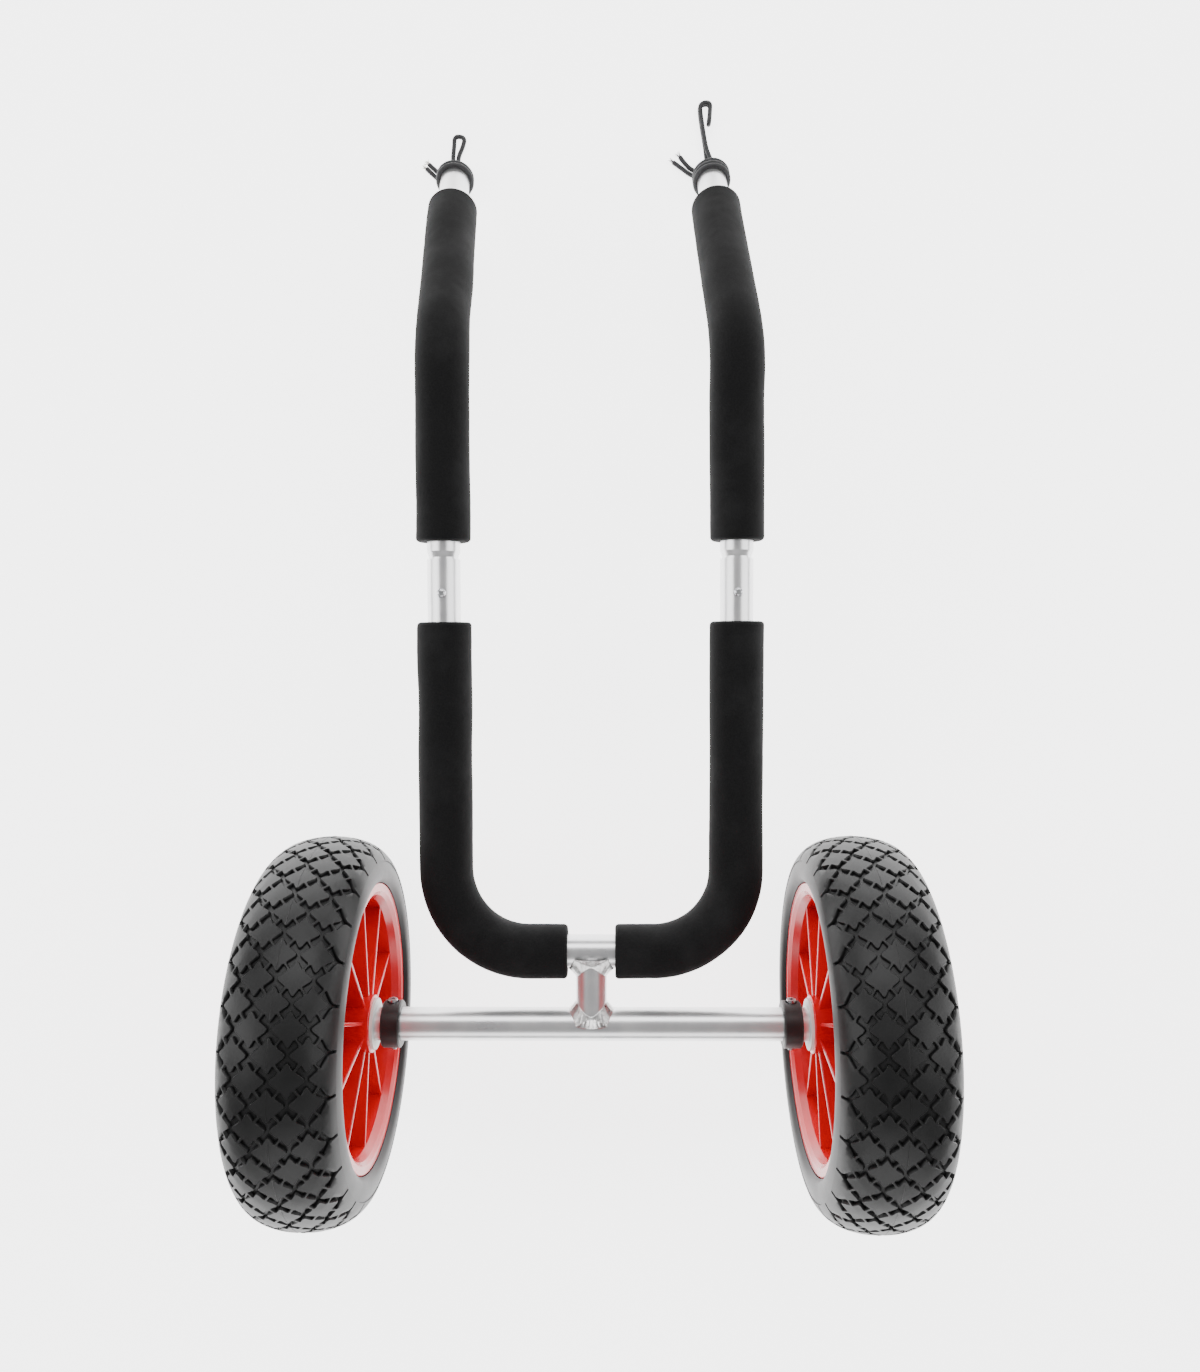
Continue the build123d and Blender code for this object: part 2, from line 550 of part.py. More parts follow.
def main():
    os.makedirs("parts", exist_ok=True)
    write("lower_frame_tube", lower_frame_tube(), ALUMINIUM)
    write("stem_tube", stem_tube(), ALUMINIUM)
    write("upper_weld_bead", weld_bead(CROSSBAR_RISE), ALUMINIUM)
    write("lower_weld_bead", weld_bead(0), ALUMINIUM)
    write("axle_tube", axle_tube(), ALUMINIUM)
    for name, side in SIDES.items():
        write(f"lower_foam_{name}", lower_foam(side), FOAM)
        write(f"axle_collar_{name}", axle_collar(side), BLACK)
        write(f"collar_screw_{name}", collar_screw(side), STEEL)
        write(f"collar_nut_{name}", collar_nut(side), STEEL)
        write(f"axle_washer_{name}", axle_washer(side), STEEL)
        write(f"retaining_clip_{name}", retaining_clip(side), STEEL)
        write(f"axle_end_plug_{name}", axle_end_plug(side), BLACK)
        write(f"tyre_{name}", tyre(side), BLACK)
        write(f"rim_{name}", rim(side), RED)
        write(f"inner_hub_bush_{name}", hub_bush(side, -1), NYLON)
        write(f"outer_hub_bush_{name}", hub_bush(side, 1), NYLON)
        write(f"upper_arm_tube_{name}", upper_arm_tube(side), ALUMINIUM)
        write(f"upper_foam_{name}", upper_foam(side), FOAM)
        write(f"snap_button_{name}", snap_button(side), STEEL)
        write(f"button_spring_{name}", button_spring(side), STEEL)
        write(f"tip_plug_{name}", tip_plug(side), BLACK)
        write(f"cord_wrap_{name}", cord_wrap(side, WRAP_TURNS[name]), BLACK)
        loop = f"cord_loop_{name}"
        write(loop, cord(loop, side, LOOP_ROUTE[name], LOOP_EXITS, LOOP_OUT_RUN), BLACK)
        for number, route in enumerate(TAIL_ROUTES[name], 1):
            tail = f"cord_tail_{name}_{number}"
            exits = TAIL_EXITS[number - 1:number]
            write(tail, cord(tail, side, route, exits, TAIL_OUT_RUN), BLACK)
    print("arm tip run", round(TIP_RUN, 2), "axle at y", round(AXLE_Y, 2), "tip height", round(TIP_HEIGHT, 2))
    print("arm drop angle", round(degrees(DROP), 2))


main()
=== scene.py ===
"""Looks of the two-wheeled board cart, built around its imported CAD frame. Lengths are in metres."""

import json
from math import atan2, ceil, cos, degrees, hypot, pi, radians, sin, sqrt, tau

import bpy
import numpy as np
from mathutils import Euler, Matrix, Vector
from mathutils.geometry import delaunay_2d_cdt


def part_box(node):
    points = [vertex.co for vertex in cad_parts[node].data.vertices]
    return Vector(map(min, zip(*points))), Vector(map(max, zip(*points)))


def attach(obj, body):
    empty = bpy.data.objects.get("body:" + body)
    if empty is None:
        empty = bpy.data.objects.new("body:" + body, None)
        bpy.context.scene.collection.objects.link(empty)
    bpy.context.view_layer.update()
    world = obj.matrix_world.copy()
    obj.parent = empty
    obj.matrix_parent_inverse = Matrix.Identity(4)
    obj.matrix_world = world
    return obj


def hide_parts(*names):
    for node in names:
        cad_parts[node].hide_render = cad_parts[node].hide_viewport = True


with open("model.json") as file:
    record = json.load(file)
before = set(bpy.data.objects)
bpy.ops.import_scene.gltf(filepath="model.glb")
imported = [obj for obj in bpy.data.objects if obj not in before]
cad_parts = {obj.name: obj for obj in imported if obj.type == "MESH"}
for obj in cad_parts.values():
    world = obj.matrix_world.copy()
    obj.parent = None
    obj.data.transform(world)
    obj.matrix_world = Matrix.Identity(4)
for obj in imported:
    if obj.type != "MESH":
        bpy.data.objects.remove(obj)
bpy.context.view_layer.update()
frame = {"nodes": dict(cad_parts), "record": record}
MM = 0.001
SIDES = {"left": -1, "right": 1}
RNG = np.random.default_rng(7)


# ---------------------------------------------------------------- places read from the frame

def middle(node):
    low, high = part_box(node)
    return (low + high) / 2


def size(node):
    low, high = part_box(node)
    return high - low


AXLE = middle("axle_tube")
TUBE_RADIUS = size("axle_tube").z / 2
FRAME_LOW, FRAME_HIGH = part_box("lower_frame_tube")
BAR_Y = FRAME_LOW.y + TUBE_RADIUS
ARM_X = FRAME_HIGH.x - TUBE_RADIUS
FOAM_RADIUS = size("lower_foam_left").z / 2
U_BEND_RADIUS = 64 * MM
ARM_BEND_Y = AXLE.y + 528 * MM
ARM_BEND_RADIUS = 95 * MM
ARM_DROP = radians(36.5)
ARM_LEAN = radians(3.5)
DROP = Vector((-sin(ARM_LEAN) * sin(ARM_DROP), cos(ARM_DROP), -cos(ARM_LEAN) * sin(ARM_DROP)))
TIP_RUN = 226.29 * MM
TIP_BARE = 50 * MM
CORD_RADIUS = 1.9 * MM


def tip_face(side):
    """The middle of the plug's face at an arm's tip."""
    return Vector((side * ARM_X, ARM_BEND_Y, AXLE.z)) + DROP * TIP_RUN


# ---------------------------------------------------------------- mesh helpers

def new_piece(name, points, faces, smooth_angle=35):
    """A mesh object with smooth shading that keeps edges sharper than the given angle."""
    mesh = bpy.data.meshes.new(name)
    mesh.from_pydata([tuple(p) for p in points], [], [tuple(int(i) for i in f) for f in faces])
    mesh.validate()
    mesh.shade_smooth()
    mesh.set_sharp_from_angle(angle=radians(smooth_angle))
    mesh.update()
    piece = bpy.data.objects.new(name, mesh)
    bpy.context.scene.collection.objects.link(piece)
    return piece


def settle(piece, body, material, replaced=()):
    """Gives a new piece its material, its body and the nodes it stands for."""
    piece.data.materials.clear()
    piece.data.materials.append(material)
    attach(piece, body)
    if replaced:
        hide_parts(*replaced)
    return piece


def weld(points, faces, distance=2e-6):
    """Joins points closer than the distance and drops faces that collapse."""
    keys = np.round(np.asarray(points) / distance).astype(np.int64)
    kept, index = np.unique(keys, axis=0, return_inverse=True)
    index = index.reshape(-1)
    first = np.full(len(kept), -1)
    first[index[::-1]] = np.arange(len(keys))[::-1]
    merged = [[int(index[i]) for i in face] for face in faces]
    merged = [face for face in merged if len(set(face)) == len(face)]
    return np.asarray(points)[first], merged


def grid_faces(rows, columns, wrap_rows=False, wrap_columns=True):
    """Faces of a grid of rows by columns points, wrapped round where asked."""
    last_row = rows if wrap_rows else rows - 1
    last_column = columns if wrap_columns else columns - 1
    return [(r * columns + c, r * columns + (c + 1) % columns,
             (r + 1) % rows * columns + (c + 1) % columns, (r + 1) % rows * columns + c)
            for r in range(last_row) for c in range(last_column)]


def frames_along(path):
    """Directions and two cross directions at each point of a line, turned as little as possible."""
    steps = np.gradient(path, axis=0)
    along = steps / np.linalg.norm(steps, axis=1)[:, None]
    start = np.array([1.0, 0, 0]) if abs(along[0][0]) < 0.9 else np.array([0, 0, 1.0])
    first = [start - along[0] * (start @ along[0])]
    first[0] /= np.linalg.norm(first[0])
    for direction in along[1:]:
        turned = first[-1] - direction * (first[-1] @ direction)
        first.append(turned / np.linalg.norm(turned))
    first = np.array(first)
    return along, first, np.cross(along, first)


def resampled(path, step):
    """The same line with evenly spaced points."""
    path = np.asarray(path, float)
    lengths = np.concatenate([[0], np.cumsum(np.linalg.norm(np.diff(path, axis=0), axis=1))])
    count = max(3, ceil(lengths[-1] / step) + 1)
    places = np.linspace(0, lengths[-1], count)
    return np.stack([np.interp(places, lengths, path[:, k]) for k in range(3)], axis=1), places


def smooth_noise(shape, cells, seed):
    """Smooth random field of a shape, wrapped along its second axis, with about one bump per cell."""
    source = np.random.default_rng(seed).normal(size=(max(2, cells[0]) + 1, max(2, cells[1])))
    rows = np.linspace(0, source.shape[0] - 1.001, shape[0])
    columns = np.arange(shape[1]) / shape[1] * source.shape[1]
    low_r, low_c = rows.astype(int), columns.astype(int)
    ease = lambda t: t * t * (3 - 2 * t)
    part_r, part_c = ease(rows - low_r)[:, None], ease(columns - low_c)[None, :]
    next_c = (low_c + 1) % source.shape[1]
    top = source[low_r][:, low_c] * (1 - part_c) + source[low_r][:, next_c] * part_c
    low = source[low_r + 1][:, low_c] * (1 - part_c) + source[low_r + 1][:, next_c] * part_c
    return top * (1 - part_r) + low * part_r


# ---------------------------------------------------------------- materials

def new_material(name, color, roughness, metallic=0.0):
    """A node material and its parts: nodes, links and shader."""
    material = bpy.data.materials.new(name)
    material.use_nodes = True
    nodes, links = material.node_tree.nodes, material.node_tree.links
    shader = nodes["Principled BSDF"]
    shader.inputs["Base Color"].default_value = (*color, 1)
    shader.inputs["Roughness"].default_value = roughness
    shader.inputs["Metallic"].default_value = metallic
    return material, nodes, links, shader


def coordinates(nodes, links, scale=(1, 1, 1), kind="Object"):
    place = nodes.new("ShaderNodeTexCoord")
    mapping = nodes.new("ShaderNodeMapping")
    mapping.inputs["Scale"].default_value = scale
    links.new(place.outputs[kind], mapping.inputs["Vector"])
    return mapping.outputs["Vector"]


def noise(nodes, links, vector, scale, detail=3.0, roughness=0.5):
    texture = nodes.new("ShaderNodeTexNoise")
    texture.inputs["Scale"].default_value = scale
    texture.inputs["Detail"].default_value = detail
    texture.inputs["Roughness"].default_value = roughness
    links.new(vector, texture.inputs["Vector"])
    return texture.outputs["Fac"]


def ramp(nodes, links, value, stops):
    """Maps a value to colours, given as (place, grey or colour) stops."""
    node = nodes.new("ShaderNodeValToRGB")
    for number, (place, color) in enumerate(stops):
        element = node.color_ramp.elements[number] if number < 2 else node.color_ramp.elements.new(place)
        element.position = place
        shade = (color,) * 3 if isinstance(color, (int, float)) else color
        element.color = (*shade, 1)
    links.new(value, node.inputs["Fac"])
    return node.outputs["Color"]


def spread(nodes, links, value, low, high):
    """Stretches a 0 to 1 value to the given range."""
    node = nodes.new("ShaderNodeMapRange")
    node.inputs["To Min"].default_value = low
    node.inputs["To Max"].default_value = high
    links.new(value, node.inputs["Value"])
    return node.outputs["Result"]


def mixed(nodes, links, share, first, second, blend="MIX"):
    node = nodes.new("ShaderNodeMix")
    node.data_type = "RGBA"
    node.blend_type = blend
    if isinstance(share, (int, float)):
        node.inputs["Factor"].default_value = share
    else:
        links.new(share, node.inputs["Factor"])
    for value, socket in ((first, node.inputs[6]), (second, node.inputs[7])):
        if isinstance(value, tuple):
            socket.default_value = (*value, 1)
        else:
            links.new(value, socket)
    return node.outputs[2]


def bumped(nodes, links, shader, height, distance, strength=1.0, normal=None):
    node = nodes.new("ShaderNodeBump")
    node.inputs["Distance"].default_value = distance
    node.inputs["Strength"].default_value = strength
    links.new(height, node.inputs["Height"])
    if normal is not None:
        links.new(normal, node.inputs["Normal"])
    links.new(node.outputs["Normal"], shader.inputs["Normal"])
    return node.outputs["Normal"]


def aluminium(name, streak_scale):
    """Satin anodised tube, with fine drawing lines along it and a little handling wear."""
    material, nodes, links, shader = new_material(name, (0.78, 0.78, 0.79), 0.3, 0.88)
    plain = coordinates(nodes, links)
    streaks = noise(nodes, links, coordinates(nodes, links, streak_scale), 1.0, 4.0, 0.6)
    cloud = noise(nodes, links, plain, 55.0, 3.0)
    grain = noise(nodes, links, plain, 2600.0, 2.0)
    tint = ramp(nodes, links, cloud, [(0.3, (0.72, 0.72, 0.735)), (0.7, (0.83, 0.825, 0.825))])
    links.new(mixed(nodes, links, spread(nodes, links, streaks, 0.0, 0.35), tint, (0.66, 0.655, 0.66)),
              shader.inputs["Base Color"])
    dull = nodes.new("ShaderNodeMath")
    dull.operation = "ADD"
    links.new(spread(nodes, links, streaks, 0.24, 0.32), dull.inputs[0])
    links.new(spread(nodes, links, cloud, -0.03, 0.08), dull.inputs[1])
    links.new(dull.outputs[0], shader.inputs["Roughness"])
    fine = bumped(nodes, links, shader, streaks, 0.006 * MM, 0.5)
    bumped(nodes, links, shader, grain, 0.012 * MM, 0.8, fine)
    return material


def weld_metal():
    material, nodes, links, shader = new_material("weld_metal", (0.7, 0.7, 0.7), 0.28, 0.9)
    plain = coordinates(nodes, links)
    cloud = noise(nodes, links, plain, 420.0, 4.0)
    links.new(ramp(nodes, links, cloud, [(0.32, (0.5, 0.49, 0.48)), (0.62, (0.8, 0.795, 0.79))]),
              shader.inputs["Base Color"])
    links.new(spread(nodes, links, cloud, 0.2, 0.42), shader.inputs["Roughness"])
    bumped(nodes, links, shader, noise(nodes, links, plain, 1500.0, 3.0), 0.05 * MM, 0.6)
    return material


def foam_rubber():
    """Matte closed-cell foam: a fine skin of cells, faint dust and rubbed patches."""
    material, nodes, links, shader = new_material("foam_rubber", (0.01, 0.01, 0.011), 0.9)
    shader.inputs["Specular IOR Level"].default_value = 0.14
    shader.inputs["Sheen Weight"].default_value = 0.02
    shader.inputs["Sheen Roughness"].default_value = 0.6
    plain = coordinates(nodes, links)
    cells = nodes.new("ShaderNodeTexVoronoi")
    cells.inputs["Scale"].default_value = 1500.0
    links.new(plain, cells.inputs["Vector"])
    grain = noise(nodes, links, plain, 900.0, 4.0, 0.6)
    patches = noise(nodes, links, plain, 22.0, 4.0, 0.55)
    dark = ramp(nodes, links, grain, [(0.3, (0.0025, 0.0025, 0.0027)), (0.7, (0.0065, 0.0065, 0.0068))])
    rubbed = ramp(nodes, links, patches, [(0.5, 0.0), (0.78, 0.5)])
    links.new(mixed(nodes, links, rubbed, dark, (0.016, 0.016, 0.0165)), shader.inputs["Base Color"])
    links.new(spread(nodes, links, patches, 0.98, 0.74), shader.inputs["Roughness"])
    skin = bumped(nodes, links, shader, grain, 0.16 * MM, 0.55)
    bumped(nodes, links, shader, cells.outputs["Distance"], 0.1 * MM, 0.4, skin)
    return material


def tyre_rubber():
    """Moulded rubber: near black, with a dusty bloom and fine mould texture."""
    material, nodes, links, shader = new_material("tyre_rubber", (0.03, 0.03, 0.031), 0.6)
    shader.inputs["Specular IOR Level"].default_value = 0.34
    plain = coordinates(nodes, links)
    grain = noise(nodes, links, plain, 1400.0, 4.0, 0.6)
    cloud = noise(nodes, links, plain, 38.0, 4.0, 0.6)
    links.new(ramp(nodes, links, cloud, [(0.3, (0.0022, 0.0022, 0.0023)), (0.75, (0.0065, 0.0065, 0.0067))]),
              shader.inputs["Base Color"])
    links.new(spread(nodes, links, cloud, 0.36, 0.52), shader.inputs["Roughness"])
    bumped(nodes, links, shader, grain, 0.09 * MM, 0.5)
    return material


def red_plastic():
    """Gloss red moulding, a little uneven in its shine, with faint flow marks."""
    material, nodes, links, shader = new_material("red_plastic", (0.74, 0.006, 0.008), 0.22)
    shader.inputs["Coat Weight"].default_value = 0.1
    shader.inputs["Coat Roughness"].default_value = 0.12
    plain = coordinates(nodes, links)
    flow = noise(nodes, links, plain, 30.0, 3.0)
    links.new(ramp(nodes, links, flow, [(0.3, (0.5, 0.0, 0.006)), (0.7, (0.64, 0.001, 0.01))]),
              shader.inputs["Base Color"])
    links.new(spread(nodes, links, flow, 0.16, 0.32), shader.inputs["Roughness"])
    bumped(nodes, links, shader, noise(nodes, links, plain, 350.0, 2.0), 0.02 * MM, 0.5)
    return material


def black_plastic():
    material, nodes, links, shader = new_material("black_plastic", (0.012, 0.012, 0.012), 0.42)
    plain = coordinates(nodes, links)
    cloud = noise(nodes, links, plain, 60.0, 3.0)
    links.new(ramp(nodes, links, cloud, [(0.3, 0.003), (0.7, 0.009)]), shader.inputs["Base Color"])
    links.new(spread(nodes, links, cloud, 0.34, 0.52), shader.inputs["Roughness"])
    bumped(nodes, links, shader, noise(nodes, links, plain, 1800.0, 3.0), 0.05 * MM, 0.5)
    return material


def nylon():
    material, nodes, links, shader = new_material("nylon", (0.72, 0.71, 0.68), 0.4)
    shader.inputs["Subsurface Weight"].default_value = 0.2
    shader.inputs["Subsurface Radius"].default_value = (0.002, 0.0018, 0.0014)
    plain = coordinates(nodes, links)
    cloud = noise(nodes, links, plain, 90.0, 3.0)
    links.new(ramp(nodes, links, cloud, [(0.3, (0.66, 0.65, 0.61)), (0.7, (0.78, 0.775, 0.75))]),
              shader.inputs["Base Color"])
    links.new(spread(nodes, links, cloud, 0.32, 0.5), shader.inputs["Roughness"])
    bumped(nodes, links, shader, noise(nodes, links, plain, 1500.0, 2.0), 0.03 * MM, 0.4)
    return material


def steel():
    """Zinc-plated steel with a faint mottle and fine tool marks."""
    material, nodes, links, shader = new_material("zinc_steel", (0.6, 0.61, 0.63), 0.28, 1.0)
    plain = coordinates(nodes, links)
    mottle = noise(nodes, links, plain, 260.0, 4.0)
    links.new(ramp(nodes, links, mottle, [(0.3, (0.5, 0.51, 0.53)), (0.7, (0.72, 0.72, 0.73))]),
              shader.inputs["Base Color"])
    links.new(spread(nodes, links, mottle, 0.2, 0.38), shader.inputs["Roughness"])
    bumped(nodes, links, shader, noise(nodes, links, plain, 2200.0, 3.0), 0.02 * MM, 0.5)
    return material


def braid_material():
    """Black braided sheath: dull yarn with a little sheen and paler worn yarns."""
    material, nodes, links, shader = new_material("braid", (0.012, 0.012, 0.013), 0.6)
    shader.inputs["Sheen Weight"].default_value = 0.25
    shader.inputs["Sheen Roughness"].default_value = 0.4
    plain = coordinates(nodes, links)
    yarn = noise(nodes, links, plain, 2400.0, 2.0)
    cloud = noise(nodes, links, plain, 160.0, 3.0)
    dark = ramp(nodes, links, yarn, [(0.35, (0.006, 0.006, 0.007)), (0.7, (0.03, 0.03, 0.032))])
    links.new(mixed(nodes, links, spread(nodes, links, cloud, 0.0, 0.3), dark, (0.05, 0.05, 0.052)),
              shader.inputs["Base Color"])
    links.new(spread(nodes, links, cloud, 0.5, 0.72), shader.inputs["Roughness"])
    bumped(nodes, links, shader, yarn, 0.06 * MM, 0.6)
    return material


def latex():
    """Pale rubber strands that show where a shock cord is cut."""
    material, nodes, links, shader = new_material("latex", (0.6, 0.57, 0.5), 0.5)
    plain = coordinates(nodes, links)
    cloud = noise(nodes, links, plain, 500.0, 3.0)
    links.new(ramp(nodes, links, cloud, [(0.3, (0.42, 0.4, 0.36)), (0.7, (0.7, 0.67, 0.6))]),
              shader.inputs["Base Color"])
    links.new(spread(nodes, links, cloud, 0.4, 0.6), shader.inputs["Roughness"])
    bumped(nodes, links, shader, noise(nodes, links, plain, 2500.0, 2.0), 0.03 * MM, 0.5)
    return material


ALONG_X = (4, 900, 60)
ALONG_Y = (900, 4, 4)
FOAM, TYRE, RED, BLACK = foam_rubber(), tyre_rubber(), red_plastic(), black_plastic()
NYLON, STEEL, BRAID, LATEX, WELD = nylon(), steel(), braid_material(), latex(), weld_metal()
ALUMINIUM_X, ALUMINIUM_Y = aluminium("aluminium_along_x", ALONG_X), aluminium("aluminium_along_y", ALONG_Y)
SLOT_MATERIAL = {"foam": FOAM, "tyre": TYRE, "red_plastic": RED, "black_plastic": BLACK, "nylon": NYLON,
                 "steel": STEEL, "cord": BRAID, "weld": WELD, "aluminium_tube": ALUMINIUM_Y}


def dress_cad_nodes():
    """Gives every CAD node its procedural material."""
    slots = {part["node"]: part["material_slot"] for part in frame["record"]["subparts"]}
    for name, node in frame["nodes"].items():
        chosen = ALUMINIUM_X if name == "axle_tube" else SLOT_MATERIAL[slots[name]]
        node.data.materials.clear()
        node.data.materials.append(chosen)


# ---------------------------------------------------------------- shock cords

# Routes as (across, forward, up) in millimetres from the floor point under the plug's face centre.
# Where cords leave the plug's face, as (across, up) on the face, and how far they run straight out.
LOOP_EXITS = [(-2.1, 2.1), (2.1, 2.1)]
TAIL_EXITS = [(-2.1, -2.1), (2.1, -2.1)]
LOOP_OUT_RUN = 6.0
TAIL_OUT_RUN = 4.0

# The routes beyond, as (across, forward, up) from the floor point under the plug's face centre.
LOOP_ROUTE = {
    "left": [(-3.4, 14.6, 2.7), (-3.2, 22.5, 2.1), (-2.2, 30.5, 2.1), (-1.9, 39.4, 2.1), (7.7, 38.2, 2.1),
             (5.4, 29.5, 2.1), (1.8, 22.2, 2.1), (1.2, 14.8, 2.8)],
    "right": [(-2.6, 15.2, 2.7), (-3.6, 25.0, 2.1), (-5.2, 35.0, 2.1), (-7.1, 46.0, 2.1), (-8.4, 55.0, 2.1),
              (-9.0, 64.2, 2.1), (0.7, 65.2, 2.1), (0.2, 56.0, 2.1), (-1.2, 45.8, 2.1), (-1.0, 46.2, 10.4),
              (-0.2, 55.2, 6.6), (0.5, 64.8, 6.3), (-9.1, 63.6, 6.3), (-8.2, 54.0, 6.2), (-6.8, 45.0, 6.2),
              (-4.8, 33.0, 6.2), (-2.8, 23.0, 6.3), (0.9, 14.4, 7.4)],
}
TAIL_ROUTES = {
    "left": [[(-4.8, 3.4, 3.8), (-10.0, 2.6, 2.1), (-16.2, 1.4, 2.1), (-21.8, 6.2, 2.1), (-27.2, 11.4, 2.1)],
             [(0.6, 6.8, 3.9), (-6.4, 8.4, 2.1), (-14.0, 5.6, 2.1), (-19.8, 10.2, 2.1), (-25.2, 15.2, 2.1)]],
    "right": [[(-4.8, 3.4, 3.8), (-10.6, 2.2, 2.1), (-16.8, 3.4, 2.1), (-24.0, 9.0, 2.1), (-32.4, 15.0, 2.1)],
              [(0.6, 6.8, 3.9), (-6.4, 8.2, 2.1), (-13.8, 6.6, 2.1), (-21.0, 12.2, 2.1), (-26.4, 19.6, 2.1)]],
}
BRAID_YARNS = 8
BRAID_PITCH = 7 * MM
BRAID_HEIGHT = 0.14 * MM
CORD_SEGMENTS = 32
CORD_STEP = 0.4 * MM


def spline_line(route):
    """The smooth line of a NURBS spline with the route's points as its control points."""
    curve = bpy.data.curves.new("route", "CURVE")
    curve.dimensions = "3D"
    curve.resolution_u = 24
    spline = curve.splines.new("NURBS")
    spline.points.add(len(route) - 1)
    for point, place in zip(spline.points, route):
        point.co = (*place, 1)
    spline.order_u = 3
    spline.use_endpoint_u = True
    holder = bpy.data.objects.new("route", curve)
    bpy.context.scene.collection.objects.link(holder)
    bpy.context.view_layer.update()
    mesh = bpy.data.meshes.new_from_object(holder)
    line = [tuple(v.co) for v in mesh.vertices]
    bpy.data.objects.remove(holder)
    bpy.data.curves.remove(curve)
    bpy.data.meshes.remove(mesh)
    return line


def braided_tube(name, line, radius, closed=False):
    """A tube with a braided sheath: two sets of yarns wound opposite ways, over and under."""
    path, places = resampled(line, CORD_STEP)
    along, first, second = frames_along(path)
    angles = np.arange(CORD_SEGMENTS) / CORD_SEGMENTS * tau
    turn = places[:, None] / BRAID_PITCH * tau
    one = np.cos(BRAID_YARNS * (angles[None, :] - turn) / 2)
    two = np.cos(BRAID_YARNS * (angles[None, :] + turn) / 2)
    lift = np.maximum(np.abs(one), np.abs(two)) - 0.8
    reach = radius + BRAID_HEIGHT * lift * 2
    if not closed:
        reach[0] *= 0.9
        reach[-1] *= 0.9
    across = first[:, None, :] * np.cos(angles)[None, :, None] + second[:, None, :] * np.sin(angles)[None, :, None]
    points = (path[:, None, :] + across * reach[:, :, None]).reshape(-1, 3)
    faces = grid_faces(len(path), CORD_SEGMENTS)
    ends = [path[0], path[-1]]
    points = np.vstack([points, ends])
    base = len(path) * CORD_SEGMENTS
    last = base - CORD_SEGMENTS
    faces += [(base, (c + 1) % CORD_SEGMENTS, c) for c in range(CORD_SEGMENTS)]
    faces += [(base + 1, last + c, last + (c + 1) % CORD_SEGMENTS) for c in range(CORD_SEGMENTS)]
    return new_piece(name, points, faces, 60)


def exit_run(side, exit_place, run):
    """The point where a cord leaves the plug's face and the end of its first straight run."""
    across = Vector((cos(ARM_LEAN), 0, -sin(ARM_LEAN)))
    start = tip_face(side) + (across * exit_place[0] + across.cross(DROP) * exit_place[1]) * MM
    return [start, start + DROP * (run * MM)]


def route_places(side, route, exits, run):
    tip = tip_face(side)
    places = exit_run(side, exits[0], run) + [Vector((tip.x, tip.y, 0)) + Vector(step) * MM for step in route]
    if len(exits) > 1:
        places += reversed(exit_run(side, exits[1], run))
    return places


FRAY_FIBRES = 11
FRAY_RADIUS = 0.28 * MM


def fray(name, line):
    """The splayed rubber strands at a cord's cut end."""
    end = Vector(line[-1])
    ahead = (end - Vector(line[-8])).normalized()
    across = ahead.cross(Vector((0, 0, 1))).normalized()
    points, faces = [], []
    for fibre in range(FRAY_FIBRES):
        spin = RNG.uniform(0, tau)
        root = end - ahead * 1.0 * MM + (across * cos(spin) + Vector((0, 0, sin(spin)))) * RNG.uniform(0.2, 1.2) * MM
        reach = RNG.uniform(2.5, 6.0) * MM
        sway = across * RNG.uniform(-2.6, 2.6) * MM
        rise = RNG.uniform(-1.2, 0.9) * MM
        strand = []
        for share in np.linspace(0, 1, 7):
            place = root + ahead * (reach * share) + sway * share ** 2
            place.z = max(place.z + rise * share ** 2, FRAY_RADIUS * 1.3)
            strand.append(tuple(place))
        strand = np.array(strand)
        _, first, second = frames_along(strand)
        start = len(points)
        for number, place in enumerate(strand):
            slim = FRAY_RADIUS * (1 - 0.5 * number / 6)
            for corner in range(6):
                angle = corner / 6 * tau
                points.append(place + (first[number] * cos(angle) + second[number] * sin(angle)) * slim)
        faces += [tuple(start + i for i in face) for face in grid_faces(7, 6)]
        faces.append(tuple(start + i for i in range(5, -1, -1)))
        faces.append(tuple(start + 36 + i for i in range(6)))
    return new_piece(name, points, faces, 60)


def free_cord(node, side_name, route, exits, run, far_end):
    """One free length of shock cord, laid where its CAD solid lies."""
    line = spline_line(route_places(SIDES[side_name], route, exits, run))
    piece = braided_tube(node.replace("cord", "shock_cord"), line, CORD_RADIUS)
    body = f"arm_{side_name}"
    settle(piece, body, BRAID, [node])
    if far_end == "bare":
        tuft = fray(node.replace("cord_tail", "cut_end"), line)
        settle(tuft, body, LATEX if side_name == "left" else BRAID)
    return piece


def make_cords():
    for side_name in SIDES:
        free_cord(f"cord_loop_{side_name}", side_name, LOOP_ROUTE[side_name], LOOP_EXITS, LOOP_OUT_RUN, "object")
        for number, route in enumerate(TAIL_ROUTES[side_name], 1):
            exits = TAIL_EXITS[number - 1:number]
            free_cord(f"cord_tail_{side_name}_{number}", side_name, route, exits, TAIL_OUT_RUN, "bare")


